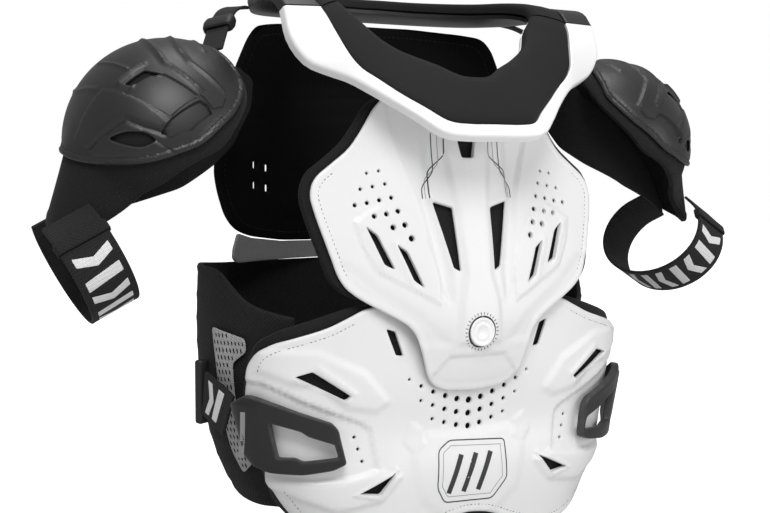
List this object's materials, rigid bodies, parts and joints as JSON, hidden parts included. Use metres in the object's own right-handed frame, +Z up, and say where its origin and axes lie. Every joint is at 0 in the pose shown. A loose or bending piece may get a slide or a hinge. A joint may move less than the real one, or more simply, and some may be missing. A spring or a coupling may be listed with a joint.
{
  "type": "motorcycle armour vest",
  "caption": "Hard-shell armour vest with chest and belly plates, neck collar, back plate, waist belt, shoulder caps and arm bands.",
  "frame": {"origin": "middle of the neck opening at the height where the collar's arms rest on the shoulders", "axes": "+X to the wearer's left, +Y to the wearer's back, +Z up"},
  "size_m": [0.738, 0.2815, 0.5181],
  "materials": {
    "white_plastic": "smooth moulded white",
    "black_plastic": "fine grain moulded black",
    "shell_plastic": "satin moulded black",
    "black_fabric": "knitted cover over foam",
    "collar_foam": "dense skinned foam",
    "grey_mesh": "open spacer mesh",
    "grey_panel": "ribbed stretch fabric",
    "webbing": "woven webbing with a light print"
  },
  "bodies": {
    "root": {"chest_plate": "white_plastic", "chest_pad": "black_fabric", "belly_plate": "white_plastic", "belly_pad": "black_fabric", "pivot_cap": "white_plastic", "collar_front_frame": "white_plastic", "collar_front_pad": "collar_foam", "collar_rear_frame": "black_plastic", "collar_rear_pad": "black_plastic", "back_plate": "black_fabric", "back_panel": "grey_panel", "kidney_belt": "black_fabric", "side_mesh_left": "grey_mesh", "side_mesh_right": "grey_mesh", "waist_strap_left": "webbing", "waist_strap_right": "webbing", "waist_bar_left": "black_plastic", "waist_bar_right": "black_plastic", "waist_buckle_left": "black_plastic", "waist_buckle_right": "black_plastic", "shoulder_shell_left": "shell_plastic", "shoulder_shell_right": "shell_plastic", "shoulder_pad_left": "black_fabric", "shoulder_pad_right": "black_fabric", "shoulder_strap_left": "webbing", "shoulder_strap_right": "webbing", "strap_slider_left": "black_plastic", "strap_slider_right": "black_plastic", "arm_strap_left": "webbing", "arm_strap_right": "webbing", "arm_keeper_left": "black_plastic", "arm_keeper_right": "black_plastic"}
  },
  "joints": []
}
